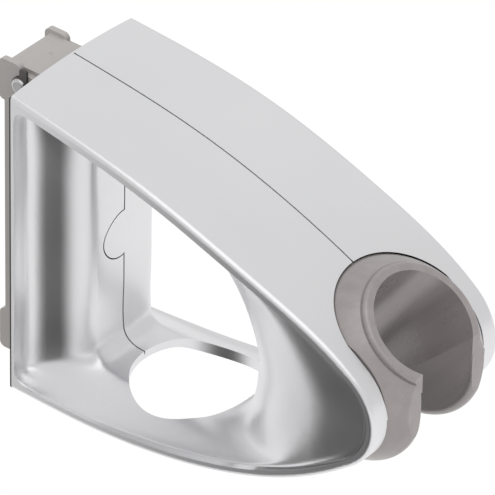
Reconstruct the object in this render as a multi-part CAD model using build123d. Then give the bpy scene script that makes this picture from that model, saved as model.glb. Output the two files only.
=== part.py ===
from build123d import *
import math
import os

# Hand shower holder: a hollow wedge in two moulded halves, open from side to side, with a
# tilting ball-shaped clip in its nose and a hooked bracket behind.
# X runs along the wall, -Y points out from the wall, +Z is up. The rear rim of the housing
# lies on Y = 0 and its lower edge on Z = 0. In the outlines below, "out" is the distance
# from the rear rim, so Y = -out.

# Housing, outside
rear_width = 45.0
middle_width = 49.4
nose_width = middle_width - 2.4
middle_out = 55.0
rear_height = 84.2
crown = 1.8
nose_out = 110.0
nose_height = 40.0
nose_radius = 15.6
wall = 2.2
lip = 2.2
lip_round = 1.2
seam_groove_width = 0.4
seam_groove_depth = 0.8

# Window through the housing, at the middle plane
column_out = 16.3
floor_height = 9.5
window_front_out = 62.3
beam_depth = 9.0
column_half_width = 10.0
rim_flange = 1.0
rim_corner = 3.6

# Number of points on each of the window's eight stretches, from the column upwards,
# and the distances from the middle plane at which its outline is drawn
window_counts = (5, 4, 3, 7, 2, 5, 5, 4)
window_start = 2
window_stations = (0, 5, 9, 11, 12.5, 14, 15.5, 17, 18.5, 20, 21.5, 22.6, 23.5, 25, 27, 30)

# Round hole in the floor
floor_hole_radius = 16.5
floor_hole_out = 39.5

# Hollow behind the skins
hollow_half_width = 19.0
beam_hollow_out = 66.0
flank_lap = 1.6

# Tilting clip
pivot_out = 93.5
pivot_height = 41.0
clip_tilt = 38.5
ball_radius = 24.2
ball_gap = 0.4
cheek_wall = 4.9
cheek_gap = 0.4
clip_half_width = nose_width / 2 - cheek_wall - cheek_gap
rim_rise = 0.806 * ball_radius
bore_radius = 13.4
bore_half_angle = 4.6
mouth_width = 19.0
jaw_round = 2.2
jaw_out = 113.0
lip_wall = 2.4
shoulder_drop = 1.5
foot_drop = 0.682 * ball_radius
clip_core_wall = 2.6

# Pivot pins and friction washers
pin_radius = 3.0
pin_length = 6.8
pin_running_gap = 0.05
pin_end_gap = 0.2
washer_radius = 7.0
washer_thickness = 1.0
washer_gap = 0.05

# Tab of the right half on the left half
tab_top = 48.0
tab_bottom = 35.6
tab_reach = 7.5
tab_gap = 0.35

# Wall bracket
bracket_half_width = 9.25
bracket_wall = 1.6
bracket_reach = 13.2
bracket_depth_inside = 10.0
bracket_bottom = 1.0
flange_bottom = 4.2
bracket_top = 81.0
hook_reach = 15.0
hook_front = 8.4
hook_height = 11.5
hook_rise = 2.0
hook_round = 1.5
lug_half_width = 14.4
lug_height = 9.0
lug_front_out = 3.1

# Bracket screws and their bosses
screw_radius = 1.1
screw_clearance = 0.2
screw_head_radius = 2.1
screw_head_height = 1.3
screw_length = 5.0
boss_radius = 2.3
screw_half_pitch = 11.9
screw_top = 66.0
screw_bottom = 20.0

# Lock on the left flange of the bracket: leaf, screw and nut
leaf_thickness = 0.7
leaf_front = 5.8
leaf_back = 8.0
leaf_top = 82.9
leaf_length = 26.0
leaf_eye_radius = 2.4
lock_screw_radius = 1.3
lock_head_radius = 2.1
lock_head_height = 0.9
lock_screw_back = 7.9
lock_screw_height = 78.0
lock_nut_height = 1.4
lock_nut_radius = 2.5

# Gasket and seam dowels
gasket_thickness = 0.7
gasket_width = 2.3
gasket_inset = 0.3
dowel_radius = 1.5
dowel_length = 12.0
dowel_gap = 0.05

half_angle = math.radians(bore_half_angle)
tilt = math.radians(clip_tilt)


def at(x, out, height):
    return Vector(x, -out, height)


def smooth(value, start, end):
    t = min(max((value - start) / (end - start), 0.0), 1.0)
    return t * t * (3.0 - 2.0 * t)


def block(x0, x1, out0, out1, z0, z1):
    size_x, size_y, size_z = x1 - x0, out1 - out0, z1 - z0
    centre = at((x0 + x1) / 2, (out0 + out1) / 2, (z0 + z1) / 2)
    return Pos(centre) * Box(size_x, size_y, size_z)


def rod_x(x0, x1, out, height, radius):
    centre = at((x0 + x1) / 2, out, height)
    return Pos(centre) * Rot(0, 90, 0) * Cylinder(radius, x1 - x0)


def rod_y(x, out0, out1, height, radius):
    centre = at(x, (out0 + out1) / 2, height)
    return Pos(centre) * Rot(90, 0, 0) * Cylinder(radius, out1 - out0)


# Outer form of the housing
def side_curves(x, lower):
    """Top, nose and bottom of the wedge in the plane at x, the top lowered by lower."""
    centre_out = nose_out - nose_radius
    turn = math.radians(52)
    up_out = centre_out + nose_radius * math.cos(turn)
    up_z = nose_height + nose_radius * math.sin(turn)
    top = Spline(
        at(x, 0, rear_height + crown - lower),
        at(x, 0.36 * nose_out, rear_height - 6.2 + crown - lower),
        at(x, 0.68 * nose_out, rear_height - 17.6 + crown - lower),
        at(x, up_out, up_z),
        tangents=[at(0, 1, -0.12), at(0, math.sin(turn), -math.cos(turn))],
    )
    drop = math.radians(-50)
    down_out = centre_out + nose_radius * math.cos(drop)
    down_z = nose_height + nose_radius * math.sin(drop)
    nose = ThreePointArc(
        at(x, up_out, up_z), at(x, nose_out, nose_height), at(x, down_out, down_z)
    )
    bottom = Spline(
        at(x, down_out, down_z),
        at(x, 0.7 * nose_out, 11.8),
        at(x, 0.33 * nose_out, 2.1),
        at(x, 0, 0),
        tangents=[at(0, math.sin(drop), -math.cos(drop)), at(0, -1, -0.03)],
    )
    return [top, nose, bottom]


def side_outline(x, lower):
    rear = Line(at(x, 0, 0), at(x, 0, rear_height + crown - lower))
    return Wire([rear] + side_curves(x, lower))


def outer_form():
    reach = middle_width / 2 + 2.0
    sections = []
    for step in (-1.0, -0.5, 0.0, 0.5, 1.0):
        sections.append(side_outline(step * reach, crown * step * step))
    wedge = Solid.make_loft(sections)
    rear, middle, nose = rear_width / 2, middle_width / 2, nose_width / 2
    far = nose_out + 5.0
    plan = Wire(
        [
            Line(at(-rear, 0, 0), at(rear, 0, 0)),
            ThreePointArc(at(rear, 0, 0), at(middle, middle_out, 0), at(nose, far, 0)),
            Line(at(nose, far, 0), at(-nose, far, 0)),
            ThreePointArc(at(-nose, far, 0), at(-middle, middle_out, 0), at(-rear, 0, 0)),
        ]
    )
    column = extrude(Face(plan), amount=rear_height + 20, dir=(0, 0, 1))
    body = wedge & Pos(0, 0, -5) * column
    return fillet(outer_edges(body), lip_round)


def outer_edges(body):
    """The long edges where the top and the nose meet the two sides."""
    found = []
    for edge in body.edges():
        middle = edge.position_at(0.5)
        off_side = abs(middle.X) > nose_width / 2 - 3.0
        if off_side and middle.Y < -5.0 and middle.Z > nose_height - nose_radius:
            found.append(edge)
    return found


# Window: a trumpet from the narrow throat at the middle to the rims at both sides
def rear_flare(x):
    """Steep beside the column, then a gentle tail out to the rim."""
    steep = smooth(x, column_half_width, column_half_width + 8.8)
    return 0.92 * steep + 0.08 * smooth(x, column_half_width + 5.0, column_half_width + 13.0)


def floor_flare(x):
    return smooth(x, 9.0, middle_width / 2)


def beam_flare(x):
    return smooth(x, 8.0, middle_width / 2)


def nose_flare(x):
    t = min(x / (nose_width / 2), 1.0)
    return 0.42 * t**2 + 0.58 * t**14


def curved(start, bend, end, count):
    """Points on a soft corner from start towards end, pulled to bend."""
    points = []
    for i in range(count):
        f = i / count
        parts = ((1 - f) ** 2, 2 * f * (1 - f), f * f)
        out = parts[0] * start[0] + parts[1] * bend[0] + parts[2] * end[0]
        height = parts[0] * start[1] + parts[1] * bend[1] + parts[2] * end[1]
        points.append((out, height))
    return points


def straight(start, end, count):
    middle = ((start[0] + end[0]) / 2, (start[1] + end[1]) / 2)
    return curved(start, middle, end, count)


def throat_points():
    """Window at the middle plane: column, beam, front and floor, with soft corners."""
    rear, front, floor = column_out, window_front_out, floor_height
    beam = rear_height + crown - beam_depth
    stops = [
        ((rear, floor + 5.5), (rear, beam - 10.0), None),
        ((rear, beam - 10.0), (rear, beam - 3.6), (rear + 6.0, beam - 5.0)),
        ((rear + 6.0, beam - 5.0), (rear + 16.0, beam - 7.8), None),
        ((rear + 16.0, beam - 7.8), (front - 4.0, beam - 17.0), (front, 36.0)),
        ((front, 36.0), (front, 26.0), None),
        ((front, 26.0), (front, floor + 0.1), (front - 16.3, floor)),
        ((front - 16.3, floor), (rear + 6.7, floor), None),
        ((rear + 6.7, floor), (rear, floor), (rear, floor + 5.5)),
    ]
    points = []
    for (start, bend, end), count in zip(stops, window_counts):
        if end is None:
            points += straight(start, bend, count)
        else:
            points += curved(start, bend, end, count)
    return points


def drawn_in(outline, share, depth):
    """Point (out, height) at a share of the outline, moved inwards by depth."""
    spot, run = outline.position_at(share), outline.tangent_at(share)
    return (-spot.Y + depth * run.Z, spot.Z + depth * run.Y)


def rim_points():
    """Window at the two sides: the side outline drawn in by the lip."""
    outline = Wire(side_curves(0, crown))

    def along(start, end, count):
        shares = [start + (end - start) * i / count for i in range(count)]
        return [drawn_in(outline, share, lip) for share in shares]

    rear = rim_flange
    first, last = 0.028, 0.972
    top, bottom = drawn_in(outline, first, lip), drawn_in(outline, last, lip)
    high, low = (rear, rear_height - lip - rim_corner), (rear, lip + rim_corner)
    counts = window_counts
    points = straight(low, high, counts[0])
    points += curved(high, (rear, rear_height - lip), top, counts[1])
    points += along(first, 0.19, counts[2])
    points += along(0.19, 0.47, counts[3])
    points += along(0.47, 0.55, counts[4])
    points += along(0.55, 0.72, counts[5])
    points += along(0.72, last, counts[6])
    points += curved(bottom, (rear, lip), low, counts[7])
    return points


def flare_shares(x):
    """How far each point has moved from throat to rim at the distance x."""
    rear, beam, nose, floor = rear_flare(x), beam_flare(x), nose_flare(x), floor_flare(x)
    ends = [
        (rear, rear),
        (rear, beam),
        (beam, beam),
        (beam, nose),
        (nose, nose),
        (nose, floor),
        (floor, floor),
        (floor, rear),
    ]
    shares = []
    for (start, end), count in zip(ends, window_counts):
        shares += [start + (end - start) * smooth(i / count, 0, 1) for i in range(count)]
    return shares


def grown_points(points, grow):
    """The closed outline moved outwards by grow."""
    moved = []
    for i, point in enumerate(points):
        back, ahead = points[i - 1], points[(i + 1) % len(points)]
        run_out, run_z = ahead[0] - back[0], ahead[1] - back[1]
        length = math.hypot(run_out, run_z)
        moved.append((point[0] - grow * run_z / length, point[1] + grow * run_out / length))
    return moved


def window_steps(throat, rim):
    """Spline parameters shared by all outlines, from the mean distance between points."""
    steps = [0.0]
    count = len(throat)
    for i in range(count):
        after = (i + 1) % count
        step = math.dist(throat[i], throat[after]) + math.dist(rim[i], rim[after])
        steps.append(steps[-1] + step / 2)
    return [step / steps[-1] for step in steps]


def from_column(points):
    """The outline started at mid height of the column, where its two ends meet best."""
    return points[window_start:] + points[:window_start]


def window_outline(x, grow, lap, throat, rim):
    shares = flare_shares(abs(x) + lap)
    points = []
    for start, end, share in zip(throat, rim, shares):
        out = start[0] + (end[0] - start[0]) * share
        height = start[1] + (end[1] - start[1]) * share
        points.append((out, height))
    points = from_column(grown_points(points, grow))
    throat, rim = from_column(throat), from_column(rim)
    spots = [at(x, out, height) for out, height in points]
    steps = window_steps(throat, rim)
    return Wire([Edge.make_spline(spots, periodic=True, parameters=steps)])


def window_form(grow=0.0, lap=0.0):
    throat, rim = throat_points(), rim_points()
    stations = [-x for x in reversed(window_stations[1:])] + list(window_stations)
    outlines = [window_outline(x, grow, lap, throat, rim) for x in stations]
    return Solid.make_loft(outlines)


# Hollow behind the skins, open to the rear and below the floor
def hollow_form():
    half = hollow_half_width
    behind, below = -5.0, -10.0
    roof = rear_height + crown - wall - 1.0
    side = Polyline(
        at(-half, behind, below),
        at(-half, window_front_out - 3.0, below),
        at(-half, window_front_out - 3.0, 12.0),
        at(-half, beam_hollow_out, 12.0),
        at(-half, beam_hollow_out, roof - 13.2),
    )
    cover = Spline(
        at(-half, beam_hollow_out, roof - 13.2),
        at(-half, 0.36 * nose_out, roof - 6.4),
        at(-half, 0, roof),
        at(-half, behind, roof + 0.6),
    )
    back = Line(at(-half, behind, roof + 0.6), at(-half, behind, below))
    outline = Wire(side.edges() + [cover, back])
    box = extrude(Face(outline), amount=2 * half, dir=(1, 0, 0))
    bar = block(-half, half, behind, wall, below, 3.4)
    return box - window_form(wall, flank_lap) - bar


def clip_pocket():
    """Room for the ball between the cheeks, open to the front and below."""
    radius = ball_radius + ball_gap
    half = clip_half_width + cheek_gap
    ball = Pos(at(0, pivot_out, pivot_height)) * Sphere(radius)
    slab = block(-half, half, pivot_out - 40, pivot_out + 40, -20, 110)
    room = ball & slab
    below = block(-half, half, pivot_out - radius, nose_out + 20, -20, pivot_height)
    front = block(-half, half, pivot_out, nose_out + 20, -20, pivot_height)
    rounded = Pos(at(0, pivot_out, -20)) * Cylinder(radius, 2 * (pivot_height + 20))
    return room + (below & rounded) + front


def seam_groove():
    """The fine groove where the halves meet, on the outside and round the window."""
    half = seam_groove_width / 2
    behind = -5.0
    outline = Wire(side_curves(-half, 0))
    points = [drawn_in(outline, i / 24, seam_groove_depth) for i in range(25)]
    skin = Spline(*[at(-half, out, height) for out, height in points])
    first, last = points[0], points[-1]
    ends = [
        Line(at(-half, last[0], last[1]), at(-half, behind, last[1])),
        Line(at(-half, behind, last[1]), at(-half, behind, first[1])),
        Line(at(-half, behind, first[1]), at(-half, first[0], first[1])),
    ]
    core = extrude(Face(Wire([skin] + ends)), amount=2 * half, dir=(1, 0, 0))
    slab = block(-half, half, 0.5, nose_out + 5, -5, rear_height + 10)
    throat, rim = throat_points(), rim_points()
    inner = Face(window_outline(0.0, seam_groove_depth, 0.0, throat, rim))
    inner = Pos(-half, 0, 0) * extrude(inner, amount=2 * half, dir=(1, 0, 0))
    groove = (slab - core) + inner
    return groove - block(-1, 1, 5, column_out + 5, tab_bottom, tab_top)


def bosses():
    """Round posts on the back of the column skin, for the bracket screws."""
    posts = []
    for x in (-screw_half_pitch, screw_half_pitch):
        for height in (screw_bottom, screw_top):
            posts.append(rod_y(x, lug_front_out, lug_front_out + 9.0, height, boss_radius))
    return posts


def screw_holes():
    holes = []
    for x in (-screw_half_pitch, screw_half_pitch):
        for height in (screw_bottom, screw_top):
            end = lug_front_out - bracket_wall + screw_length + pin_end_gap
            holes.append(rod_y(x, -1.0, end, height, screw_radius + pin_running_gap))
    return holes


def housing():
    body = outer_form()
    window = window_form()
    hollow = hollow_form()
    for post in bosses():
        hollow = hollow - post
    body = body - window - hollow - clip_pocket()
    hole = Pos(at(0, floor_hole_out, 0)) * Cylinder(floor_hole_radius, 60)
    body = body - hole
    for tool in screw_holes():
        body = body - tool
    cheek = clip_half_width + cheek_gap
    pin_end = clip_half_width + cheek_gap + 3.0
    for side in (-1, 1):
        ends = sorted((side * (cheek - 1.0), side * (pin_end + pin_end_gap)))
        body = body - rod_x(*ends, pivot_out, pivot_height, pin_radius + pin_running_gap)
    for out, height in dowel_places():
        reach = dowel_length / 2 + pin_end_gap
        body = body - rod_x(-reach, reach, out, height, dowel_radius + dowel_gap)
    return body - seam_groove()


def dowel_places():
    """Middle of each dowel: in the nose block and where column and beam meet."""
    front = (window_front_out + 4.6, nose_height + 22.0)
    rear = (column_out + 2.6, rear_height - 5.4)
    return [front, rear]


def tab_form(grow):
    """Half-teardrop prism on the column, grown by grow."""
    tall = tab_top - tab_bottom
    curve = Spline(
        at(0.01, 0, tab_top + grow),
        at(-0.66 * tab_reach - grow, 0, tab_top - 0.16 * tall + 0.4 * grow),
        at(-tab_reach - grow, 0, tab_bottom + 0.5 * tall),
        at(-0.72 * tab_reach - 0.7 * grow, 0, tab_bottom + 0.12 * tall - 0.7 * grow),
        at(0.01, 0, tab_bottom - grow),
    )
    closing = Line(at(0.01, 0, tab_bottom - grow), at(0.01, 0, tab_top + grow))
    flat = Face(Wire([curve, closing]))
    return Pos(at(0, column_out - wall - 1.5, 0)) * extrude(flat, amount=wall + 3.0, dir=(0, -1, 0))


def shells():
    body = housing()
    left_half = block(-60, 0, -20, 160, -40, 140)
    right_half = block(0, 60, -20, 160, -40, 140)
    left = (body & left_half) - tab_form(tab_gap)
    right = body & (right_half + tab_form(0.0))
    return left, right


# Tilting clip, modelled upright on its own axis and then tilted
def clip_frame():
    return Pos(at(0, pivot_out, pivot_height)) * Rot(clip_tilt, 0, 0)


def cone_clip():
    mouth = Pos(0, -30, 0) * Box(mouth_width, 60, 90)
    ball = Sphere(ball_radius) & Box(2 * clip_half_width, 90, 90)
    shoulder = rim_rise - shoulder_drop
    ball = ball & Pos(0, 0, shoulder - 45) * Box(90, 90, 90)
    ball = ball & Pos(0, 0, 45 - foot_drop) * Box(90, 90, 90)
    ball = ball - mouth
    ball = fillet(jaw_edges(ball), jaw_round)
    base = 2.0
    radius = bore_radius + lip_wall
    collar = Pos(0, 0, (rim_rise + base) / 2) * Cylinder(radius, rim_rise - base)
    rim_edge = collar.edges().filter_by(GeomType.CIRCLE).sort_by(Axis.Z)[-1]
    body = ball + (fillet(rim_edge, 1.0) - mouth)
    low_radius = bore_radius - (rim_rise + foot_drop) * math.tan(half_angle)
    middle = (rim_rise - foot_drop) / 2
    bore = Pos(0, 0, middle) * Cone(low_radius, bore_radius, rim_rise + foot_drop)
    placed = clip_frame() * (body - bore - clip_core())
    return finish_clip(placed - block(-60, 60, jaw_out, jaw_out + 60, -60, 140))


def jaw_edges(body):
    """The two long curved edges of the mouth."""
    found = []
    for edge in body.edges().filter_by(GeomType.CIRCLE):
        middle = edge.position_at(0.5)
        if abs(abs(middle.X) - mouth_width / 2) < 0.01 and edge.length > 12.0:
            found.append(edge)
    return found


def clip_core():
    """Crescent hollow behind the bore, open below, that keeps the walls even."""
    inner = Sphere(ball_radius - clip_core_wall)
    inner = inner & Box(2 * (clip_half_width - 6.0), 90, 90)
    inner = inner & Pos(0, 45, 0) * Box(90, 90, 90)
    inner = inner & Pos(0, 0, -foot_drop - 40 + 27.0) * Box(90, 90, 80)
    return inner - Cylinder(bore_radius + clip_core_wall - 1.0, 90)


def finish_clip(body):
    half = clip_half_width
    for side in (-1, 1):
        ends = sorted((side * (half - 3.8), side * (half + 1.0)))
        body = body - rod_x(*ends, pivot_out, pivot_height, pin_radius + pin_running_gap)
        seat = washer_thickness - cheek_gap + washer_gap
        ends = sorted((side * (half - seat), side * (half + 1.0)))
        body = body - rod_x(*ends, pivot_out, pivot_height, washer_radius + 0.2)
    return body


def pivot_pin(side):
    start = clip_half_width + cheek_gap + 3.0
    ends = sorted((side * (start - pin_length + 0.2), side * start))
    pin = rod_x(*ends, pivot_out, pivot_height, pin_radius)
    return chamfer(pin.edges().filter_by(GeomType.CIRCLE), 0.4)


def friction_washer(side):
    outer = clip_half_width + cheek_gap - washer_gap
    ends = sorted((side * (outer - washer_thickness), side * outer))
    ring = rod_x(*ends, pivot_out, pivot_height, washer_radius)
    return ring - rod_x(-60, 60, pivot_out, pivot_height, pin_radius + 0.15)


# Bracket behind the housing
def flange(side):
    inner, outer = bracket_half_width - bracket_wall, bracket_half_width
    ends = sorted((side * inner, side * outer))
    plate = block(*ends, -bracket_reach, -hook_front, bracket_bottom, bracket_top)
    inside = bracket_depth_inside
    plate = plate + block(*ends, -hook_front - 0.1, inside, flange_bottom, bracket_top)
    for low in (True, False):
        z0 = bracket_bottom - hook_rise if low else bracket_top + hook_rise - hook_height
        hook = block(*ends, -hook_reach, -hook_front, z0, z0 + hook_height)
        corners = hook.edges().filter_by(Axis.X).sort_by(Axis.Y)[-2:]
        fronts = hook.edges().filter_by(Axis.X).sort_by(Axis.Z)
        front = fronts[0:2] if low else fronts[-2:]
        rounded = list(corners) + [e for e in front if e not in corners]
        plate = plate + fillet(rounded, hook_round)
    return plate


def lug(side, height):
    """Ear of the bracket that is screwed to a boss of the housing."""
    half = bracket_half_width
    ends = sorted((side * (half - 0.2), side * lug_half_width))
    low, high = height - lug_height / 2, height + lug_height / 2
    plate = block(*ends, lug_front_out - bracket_wall, lug_front_out, low, high)
    corners = plate.edges().filter_by(Axis.Y).sort_by(Axis.X)
    plate = fillet(corners[-2:] if side > 0 else corners[:2], 1.5)
    radius = screw_radius + screw_clearance
    return plate - rod_y(side * screw_half_pitch, -5, 10, height, radius)


def wall_bracket():
    half = bracket_half_width
    web_back = bracket_wall - bracket_reach
    body = block(-half, half, -bracket_reach, web_back, bracket_bottom, bracket_top + 1.0)
    for side in (-1, 1):
        body = body + flange(side) + lug(side, screw_bottom) + lug(side, screw_top)
    hole = lock_screw_radius + screw_clearance
    return body - rod_x(-half - 1, -half + 4, -lock_screw_back, lock_screw_height, hole)


def bracket_screw(x, height):
    head_back = lug_front_out - bracket_wall - screw_head_height
    head = rod_y(x, head_back, head_back + screw_head_height, height, screw_head_radius)
    head = fillet(head.edges().filter_by(GeomType.CIRCLE).sort_by(Axis.Y)[-1], 0.6)
    start = lug_front_out - bracket_wall
    shank = rod_y(x, start, start + screw_length, height, screw_radius)
    long, short, deep = 1.4, 0.3, 0.6
    slot = block(x - long, x + long, head_back, head_back + deep, height - short, height + short)
    cross = block(x - short, x + short, head_back, head_back + deep, height - long, height + long)
    return head + shank - slot - cross


def lock_leaf():
    """Flat spring on the bracket's left flange, with an eye for its screw."""
    face, back = -bracket_half_width, -lock_screw_back
    outer = face - leaf_thickness
    strip = block(outer, face, -leaf_back, -leaf_front, leaf_top - leaf_length, leaf_top)
    strip = fillet(strip.edges().filter_by(Axis.X).sort_by(Axis.Z)[-2:], 0.8)
    eye = rod_x(outer, face, back, lock_screw_height, leaf_eye_radius)
    hole = rod_x(-40, 0, back, lock_screw_height, lock_screw_radius + screw_clearance)
    return strip + eye - hole


def lock_screw():
    back, height = -lock_screw_back, lock_screw_height
    face = -bracket_half_width - leaf_thickness
    end = -bracket_half_width + bracket_wall + lock_nut_height + 0.3
    head = rod_x(face - lock_head_height, face, back, height, lock_head_radius)
    rim = head.edges().filter_by(GeomType.CIRCLE).sort_by(Axis.X)[0]
    return rod_x(face, end, back, height, lock_screw_radius) + fillet(rim, 0.7)


def lock_nut():
    back, height = -lock_screw_back, lock_screw_height
    inner = -bracket_half_width + bracket_wall
    hexagon = RegularPolygon(radius=lock_nut_radius, side_count=6)
    centre = at(inner, back, height)
    body = Pos(centre) * Rot(0, 90, 0) * extrude(hexagon, amount=lock_nut_height)
    hole = lock_screw_radius + pin_running_gap
    return body - rod_x(-40, 0, back, height, hole)


def rim_gasket():
    """Flat rubber frame on the rear rim, round the bracket."""
    half = rear_width / 2 - gasket_inset
    low, high = gasket_inset, rear_height - gasket_inset
    ring = block(-half, half, -gasket_thickness, 0, low, high)
    gap = gasket_width
    opening = block(-half + gap, half - gap, -5, 5, low + gap, high - gap)
    return ring - opening


def seam_dowel(out, height):
    dowel = rod_x(-dowel_length / 2, dowel_length / 2, out, height, dowel_radius)
    return chamfer(dowel.edges().filter_by(GeomType.CIRCLE), 0.3)


def build():
    left, right = shells()
    nodes = {"left_shell": left, "right_shell": right, "cone_clip": cone_clip()}
    for name, side in (("left", -1), ("right", 1)):
        nodes["pivot_pin_" + name] = pivot_pin(side)
        nodes["friction_washer_" + name] = friction_washer(side)
    number = 1
    for height in (screw_bottom, screw_top):
        for x in (-screw_half_pitch, screw_half_pitch):
            nodes["bracket_screw_%d" % number] = bracket_screw(x, height)
            number += 1
    nodes["wall_bracket"] = wall_bracket()
    nodes["rim_gasket"] = rim_gasket()
    nodes["lock_leaf"] = lock_leaf()
    nodes["lock_screw"] = lock_screw()
    nodes["lock_nut"] = lock_nut()
    for name, place in zip(("front", "rear"), dowel_places()):
        nodes["seam_dowel_" + name] = seam_dowel(*place)
    return nodes


# The origin is the middle of the gasket's rear face, which lies on the wall.
to_origin = Pos(0, -gasket_thickness, -rear_height / 2)
os.makedirs("parts", exist_ok=True)
for node, shape in build().items():
    shape = to_origin * shape
    export_step(shape, os.path.join("parts", node + ".step"))
    print(node, round(shape.volume), len(shape.solids()), len(shape.faces()))
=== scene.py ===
import math

import bmesh
import bpy
from mathutils import Matrix, Vector


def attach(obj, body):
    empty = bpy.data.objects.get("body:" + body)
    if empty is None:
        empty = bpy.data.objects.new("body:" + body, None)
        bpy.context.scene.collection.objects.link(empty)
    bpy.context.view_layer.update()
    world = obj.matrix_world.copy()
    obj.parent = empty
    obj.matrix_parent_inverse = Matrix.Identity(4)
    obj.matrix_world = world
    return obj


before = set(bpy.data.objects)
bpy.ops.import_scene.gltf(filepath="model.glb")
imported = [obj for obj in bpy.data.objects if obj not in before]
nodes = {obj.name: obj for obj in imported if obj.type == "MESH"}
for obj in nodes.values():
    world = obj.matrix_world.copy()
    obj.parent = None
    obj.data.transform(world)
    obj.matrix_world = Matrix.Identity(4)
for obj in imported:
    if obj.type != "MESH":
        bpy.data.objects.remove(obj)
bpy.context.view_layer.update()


# Shader helpers
def new_material(name):
    material = bpy.data.materials.new(name)
    material.use_nodes = True
    tree = material.node_tree
    shader = tree.nodes["Principled BSDF"]
    return material, tree, shader


def set_values(shader, **values):
    """Sets the shader's sockets by name, with _ for each space in a name."""
    for key, value in values.items():
        shader.inputs[key.replace("_", " ")].default_value = value


def noise(tree, scale, detail=3.0, rough=0.5, stretch=(1, 1, 1), lean=0.0):
    """Noise in object space, leant about X and then stretched."""
    coord = tree.nodes.new("ShaderNodeTexCoord")
    leant = tree.nodes.new("ShaderNodeMapping")
    leant.inputs["Rotation"].default_value = (lean, 0.0, 0.0)
    tree.links.new(coord.outputs["Object"], leant.inputs["Vector"])
    mapping = tree.nodes.new("ShaderNodeMapping")
    mapping.inputs["Scale"].default_value = stretch
    tree.links.new(leant.outputs["Vector"], mapping.inputs["Vector"])
    texture = tree.nodes.new("ShaderNodeTexNoise")
    texture.inputs["Scale"].default_value = scale
    texture.inputs["Detail"].default_value = detail
    texture.inputs["Roughness"].default_value = rough
    tree.links.new(mapping.outputs["Vector"], texture.inputs["Vector"])
    return texture.outputs["Fac"]


def ranged(tree, value, low, high, start=0.2, end=0.8):
    """Goes from low to high while the value goes from start to end."""
    node = tree.nodes.new("ShaderNodeMapRange")
    node.inputs["From Min"].default_value = start
    node.inputs["From Max"].default_value = end
    node.inputs["To Min"].default_value = low
    node.inputs["To Max"].default_value = high
    tree.links.new(value, node.inputs["Value"])
    return node.outputs["Result"]


def two_tone(tree, fac, first, second):
    mix = tree.nodes.new("ShaderNodeMix")
    mix.data_type = "RGBA"
    mix.inputs["A"].default_value = (*first, 1)
    mix.inputs["B"].default_value = (*second, 1)
    tree.links.new(fac, mix.inputs["Factor"])
    return mix.outputs["Result"]


def calc(tree, operation, *values):
    """A math node; each value is a number or another node's output."""
    node = tree.nodes.new("ShaderNodeMath")
    node.operation = operation
    for socket, value in zip(node.inputs, values):
        if isinstance(value, (int, float)):
            socket.default_value = value
        else:
            tree.links.new(value, socket)
    return node.outputs[0]


def product(tree, *values):
    result = values[0]
    for value in values[1:]:
        result = calc(tree, "MULTIPLY", result, value)
    return result


def parts_of(tree, vector):
    node = tree.nodes.new("ShaderNodeSeparateXYZ")
    tree.links.new(vector, node.inputs[0])
    return node.outputs["X"], node.outputs["Y"], node.outputs["Z"]


def bump(tree, shader, value, strength, distance, normal=None):
    node = tree.nodes.new("ShaderNodeBump")
    if normal:
        tree.links.new(normal, node.inputs["Normal"])
    node.inputs["Strength"].default_value = strength
    node.inputs["Distance"].default_value = distance
    tree.links.new(value, node.inputs["Height"])
    tree.links.new(node.outputs["Normal"], shader.inputs["Normal"])


# Shading of the window. In metres, out is the distance from the gasket's rear face
# and side is the distance from the seam; turned_x, turned_y and turned_z are the normal.
def sideways_faces(tree, turned_x, turned_z):
    """1 on upright faces that look sideways, fading to 0 on the others."""
    side_fade = (0.3, 0.6)
    level_fade = (0.1, 0.5)
    sideways = ranged(tree, calc(tree, "ABSOLUTE", turned_x), 0.0, 1.0, *side_fade)
    upright = ranged(tree, calc(tree, "ABSOLUTE", turned_z), 1.0, 0.0, *level_fade)
    return product(tree, sideways, upright)


def column_bend(tree, out, side, sideways):
    """How far the column's flare turns from the wall, at its front and at its rear edge."""
    front_run = (0.0092, 0.0158)
    front_most = 0.7
    rear_run = (0.002, 0.0064)
    rear_most = 0.3
    column_front = 0.0176
    flare_middle = 0.0149
    flare_half = 0.0056
    front = ranged(tree, out, 0.0, front_most, *front_run)
    rear = ranged(tree, out, rear_most, 0.0, *rear_run)
    near_column = calc(tree, "LESS_THAN", out, column_front)
    on_flare = calc(tree, "COMPARE", side, flare_middle, flare_half)
    return product(tree, calc(tree, "ADD", front, rear), near_column, on_flare, sideways)


def flank_bend(tree, out, side, z, sideways):
    """How far the flank turns from the wall towards the nose, sooner where it is higher."""
    flank_run = (0.091, 0.107)
    flank_most = 0.24
    flank_edge = 0.0232
    slant = 0.5
    slant_below = 0.002
    above = calc(tree, "MAXIMUM", calc(tree, "ADD", z, slant_below), 0.0)
    along = calc(tree, "ADD", out, product(tree, above, slant))
    flank = ranged(tree, along, 0.0, flank_most, *flank_run)
    within = calc(tree, "LESS_THAN", side, flank_edge)
    return product(tree, flank, within, sideways)


def nose_turn(tree, out, side, z, turned_y, turned_z):
    """1 on the narrow turn inside the nose's rim, which faces the window's middle."""
    middle_out = 0.055
    middle_below = 0.008
    facing_run = (0.0005, 0.003)
    rim_run = (0.02275, 0.0231)
    nose_run = (0.066, 0.08)
    facing_out = product(tree, calc(tree, "SUBTRACT", out, middle_out), turned_y)
    facing_up = product(tree, calc(tree, "ADD", z, middle_below), turned_z)
    inward = calc(tree, "SUBTRACT", facing_out, facing_up)
    inward = ranged(tree, inward, 0.0, 1.0, *facing_run)
    near_rim = ranged(tree, side, 0.0, 1.0, *rim_run)
    near_nose = ranged(tree, out, 0.0, 1.0, *nose_run)
    return product(tree, inward, near_rim, near_nose)


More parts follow.
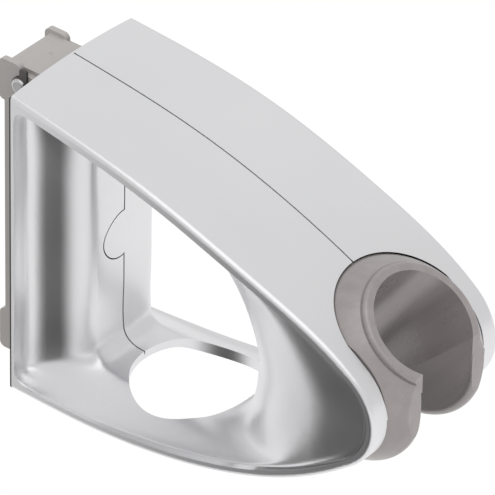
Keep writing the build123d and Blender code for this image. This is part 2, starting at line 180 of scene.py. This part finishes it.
def window_normal(tree):
    """The normal, bent so that the column's flare and the nose end of the window look round."""
    nose_sideways = 0.6
    nose_forward = 0.25
    facing = tree.nodes.new("ShaderNodeNewGeometry").outputs["Normal"]
    turned_x, turned_y, turned_z = parts_of(tree, facing)
    place = tree.nodes.new("ShaderNodeTexCoord").outputs["Object"]
    x, y, z = parts_of(tree, place)
    side = calc(tree, "ABSOLUTE", x)
    out = calc(tree, "MULTIPLY", y, -1.0)
    sideways = sideways_faces(tree, turned_x, turned_z)
    column = column_bend(tree, out, side, sideways)
    flank = flank_bend(tree, out, side, z, sideways)
    turn = nose_turn(tree, out, side, z, turned_y, turned_z)
    # The nose's narrow turn is shaded as the end of the flank.
    push = product(tree, turn, calc(tree, "SIGN", turned_x), nose_sideways)
    pull = product(tree, turn, calc(tree, "ADD", turned_y, nose_forward))
    bent_x = calc(tree, "ADD", turned_x, push)
    bent_y = calc(tree, "SUBTRACT", turned_y, calc(tree, "ADD", column, flank))
    bent_y = calc(tree, "SUBTRACT", bent_y, pull)
    bent_z = calc(tree, "SUBTRACT", turned_z, product(tree, turn, turned_z))
    joined = tree.nodes.new("ShaderNodeCombineXYZ")
    for socket, value in zip(joined.inputs, (bent_x, bent_y, bent_z)):
        tree.links.new(value, socket)
    unit = tree.nodes.new("ShaderNodeVectorMath")
    unit.operation = "NORMALIZE"
    tree.links.new(joined.outputs[0], unit.inputs[0])
    return unit.outputs[0]


# Finishes
def satin_silver():
    """Satin silver coat on plastic: soft reflections, a faint grain, a slight drift in tone."""
    darker = (0.755, 0.755, 0.77)
    lighter = (0.785, 0.785, 0.795)
    material, tree, shader = new_material("housing_silver")
    set_values(shader, Metallic=0.93, IOR=1.5)
    drift = ranged(tree, noise(tree, scale=28.0, detail=2.0), low=0.0, high=1.0)
    tree.links.new(two_tone(tree, drift, darker, lighter), shader.inputs["Base Color"])
    rough = ranged(tree, noise(tree, scale=90.0, detail=4.0), low=0.29, high=0.33)
    tree.links.new(rough, shader.inputs["Roughness"])
    grain = noise(tree, scale=1300.0, detail=2.0)
    bump(tree, shader, grain, strength=0.02, distance=0.0002, normal=window_normal(tree))
    return material


def satin_grey(name, darker, lighter, smooth, rough, shine=0.0, lean=0.0, stretch=(1, 1, 1)):
    """Plain plastic or rubber, with a drift in tone between two colours."""
    material, tree, shader = new_material(name)
    set_values(shader, Metallic=shine)
    drift = noise(tree, scale=60.0, detail=3.0, rough=0.55, stretch=stretch, lean=lean)
    drift = ranged(tree, drift, low=0.0, high=1.0)
    tree.links.new(two_tone(tree, drift, darker, lighter), shader.inputs["Base Color"])
    patches = ranged(tree, noise(tree, scale=140.0, detail=3.0), low=smooth, high=rough)
    tree.links.new(patches, shader.inputs["Roughness"])
    bump(tree, shader, noise(tree, scale=1100.0, detail=2.0), strength=0.02, distance=0.0002)
    return material


def metal(name, colour, rough, stretch=(1, 1, 1)):
    """Bare or blued metal, with fine streaks that are a little darker."""
    streak_shade = 0.85
    roughest = rough + 0.08
    material, tree, shader = new_material(name)
    set_values(shader, Metallic=1.0)
    darker = tuple(streak_shade * part for part in colour)
    streak = ranged(tree, noise(tree, scale=500.0, stretch=stretch), low=0.0, high=1.0)
    tree.links.new(two_tone(tree, streak, darker, colour), shader.inputs["Base Color"])
    patches = ranged(tree, noise(tree, scale=900.0, detail=2.0), low=rough, high=roughest)
    tree.links.new(patches, shader.inputs["Roughness"])
    return material


def clip_grey():
    """Warm grey plastic, with faint streaks along the bore, which leans forward."""
    return satin_grey(
        "clip_grey",
        darker=(0.335, 0.304, 0.302),
        lighter=(0.405, 0.37, 0.366),
        smooth=0.26,
        rough=0.3,
        shine=0.4,
        lean=math.radians(-38.5),
        stretch=(6.0, 6.0, 0.3),
    )


def bracket_grey():
    darker = (0.475, 0.45, 0.432)
    lighter = (0.505, 0.48, 0.462)
    return satin_grey("bracket_grey", darker, lighter, smooth=0.5, rough=0.6)


def washer_black():
    darker = (0.02, 0.02, 0.02)
    lighter = (0.03, 0.03, 0.03)
    return satin_grey("washer_black", darker, lighter, smooth=0.5, rough=0.6)


def gasket_black():
    darker = (0.05, 0.048, 0.045)
    lighter = (0.07, 0.067, 0.063)
    return satin_grey("gasket_black", darker, lighter, smooth=0.6, rough=0.75)


housing = satin_silver()
clip = clip_grey()
bracket = bracket_grey()
steel = metal("plain_steel", colour=(0.55, 0.55, 0.55), rough=0.3)
blued = metal("blued_steel", colour=(0.15, 0.143, 0.138), rough=0.35, stretch=(1, 1, 8))
bright = metal("bright_screw", colour=(0.62, 0.62, 0.62), rough=0.2)
washer = washer_black()
gasket = gasket_black()

# The pins, the dowels, the nut and the bracket's screws are plain steel.
finishes = {
    "left_shell": housing,
    "right_shell": housing,
    "cone_clip": clip,
    "wall_bracket": bracket,
    "lock_leaf": blued,
    "lock_screw": bright,
    "rim_gasket": gasket,
    "friction_washer_left": washer,
    "friction_washer_right": washer,
}
for name, node in nodes.items():
    for slot in node.material_slots:
        slot.material = finishes.get(name, steel)


# Closed top of the bracket
def bracket_cap():
    """A thin plate across the channel's top, with a small moulded dimple."""
    width = 0.01528
    depth = 0.0111
    middle_y = 0.00534
    top = 0.0399
    underside = 0.0375
    dimple_x = 0.001
    dimple_y = 0.0066
    dimple_radius = 0.0005
    dimple_depth = 0.0005
    mesh = bpy.data.meshes.new("bracket_cap")
    form = bmesh.new()
    bmesh.ops.create_grid(form, x_segments=38, y_segments=28, size=0.5)
    for vertex in form.verts:
        x = width * vertex.co.x
        y = depth * vertex.co.y + middle_y
        away = math.hypot(x - dimple_x, y - dimple_y) / dimple_radius
        vertex.co = (x, y, top - dimple_depth * math.exp(-(away**2)))
    grown = bmesh.ops.extrude_face_region(form, geom=form.faces[:])
    for part in grown["geom"]:
        if isinstance(part, bmesh.types.BMVert):
            part.co.z = underside
    bmesh.ops.recalc_face_normals(form, faces=form.faces)
    form.to_mesh(mesh)
    form.free()
    cap = bpy.data.objects.new("bracket_cap", mesh)
    bpy.context.scene.collection.objects.link(cap)
    mesh.materials.append(bracket)
    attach(cap, "housing")


bracket_cap()


# Camera, fitted to the photo, with distances in metres
def photo_camera():
    azimuth = math.radians(52.0)
    elevation = math.radians(35.0)
    roll = math.radians(1.3)
    target = Vector((0.0, -0.0507, -0.0001))
    distance = 1.5
    shift_right = 0.003125
    shift_up = 0.008446
    sensor_width = 36.0
    photo_width_pixels = 495.0
    focal_length_pixels = 6359.57
    back = Vector(
        (
            -math.sin(azimuth) * math.cos(elevation),
            -math.cos(azimuth) * math.cos(elevation),
            math.sin(elevation),
        )
    )
    level = Vector((math.cos(azimuth), -math.sin(azimuth), 0.0))
    rise = back.cross(level)
    right = math.cos(roll) * level + math.sin(roll) * rise
    up = math.cos(roll) * rise - math.sin(roll) * level
    eye = target + back * distance + right * shift_right + up * shift_up
    data = bpy.data.cameras.new("camera")
    data.sensor_width = sensor_width
    data.lens = sensor_width * focal_length_pixels / photo_width_pixels
    data.clip_end = 50.0
    camera = bpy.data.objects.new("camera", data)
    camera.matrix_world = Matrix.Translation(eye) @ Matrix((right, up, back)).transposed().to_4x4()
    bpy.context.scene.collection.objects.link(camera)
    bpy.context.scene.camera = camera


photo_camera()


# Studio
def plane(name, size, place, facing, grey, glow):
    mesh = bpy.data.meshes.new(name)
    form = bmesh.new()
    bmesh.ops.create_grid(form, x_segments=1, y_segments=1, size=size / 2)
    form.to_mesh(mesh)
    form.free()
    thing = bpy.data.objects.new(name, mesh)
    thing.location = place
    thing.rotation_euler = Vector(facing).to_track_quat("Z", "Y").to_euler()
    bpy.context.scene.collection.objects.link(thing)
    material, tree, shader = new_material(name)
    colour = (grey, grey, grey, 1)
    set_values(shader, Base_Color=colour, Roughness=1.0, Specular_IOR_Level=0.0)
    set_values(shader, Emission_Color=colour, Emission_Strength=glow)
    mesh.materials.append(material)
    return material


def seen_white(material, glow, seen_glow):
    """Lifts the floor to white where it is seen directly, in a reflection or through glass."""
    tree = material.node_tree
    shader = tree.nodes["Principled BSDF"]
    path = tree.nodes.new("ShaderNodeLightPath").outputs
    seen = calc(tree, "MAXIMUM", path["Is Glossy Ray"], path["Is Transmission Ray"])
    seen = calc(tree, "MAXIMUM", path["Is Camera Ray"], seen)
    strength = ranged(tree, seen, low=glow, high=seen_glow, start=0.0, end=1.0)
    tree.links.new(strength, shader.inputs["Emission Strength"])


def soft_edged(material, inner, outer):
    """Solid in the middle, fading to clear between the inner and the outer radius."""
    tree = material.node_tree
    shader = tree.nodes["Principled BSDF"]
    coord = tree.nodes.new("ShaderNodeTexCoord")
    length = tree.nodes.new("ShaderNodeVectorMath")
    length.operation = "LENGTH"
    tree.links.new(coord.outputs["Object"], length.inputs[0])
    cover = ranged(tree, length.outputs["Value"], low=1.0, high=0.0, start=inner, end=outer)
    tree.links.new(cover, shader.inputs["Alpha"])


def softbox(name, place, width, power):
    aim = Vector((0.0, -0.05, 0.0))
    data = bpy.data.lights.new(name, "AREA")
    data.shape = "RECTANGLE"
    data.size = width
    data.size_y = width
    data.energy = power
    light = bpy.data.objects.new(name, data)
    light.location = place
    light.rotation_euler = (Vector(place) - aim).to_track_quat("Z", "Y").to_euler()
    bpy.context.scene.collection.objects.link(light)


def pale_world(strength):
    world = bpy.data.worlds.new("studio")
    world.use_nodes = True
    sky = world.node_tree.nodes["Background"].inputs
    sky["Color"].default_value = (1, 1, 1, 1)
    sky["Strength"].default_value = strength
    bpy.context.scene.world = world


floor_glow = 0.9
floor = plane("floor", size=12.0, place=(0, 0, -0.6), facing=(0, 0, 1), grey=0.4, glow=floor_glow)
seen_white(floor, floor_glow, seen_glow=1.7)

# The flag gives the dark reflections on the column and at the nose end of the window.
flag_place = (-0.5, 0.03, -0.36)
flag = plane("flag", size=1.0, place=flag_place, facing=(0.8, -0.1, 0.58), grey=0.01, glow=0.0)
soft_edged(flag, inner=0.18, outer=0.5)

pale_world(strength=0.79)
softbox("key", place=(-0.5, -0.3, 1.5), width=1.8, power=5.5)
softbox("side", place=(1.2, 0.5, 1.1), width=1.4, power=0.6)

bpy.context.scene.view_settings.view_transform = "Standard"
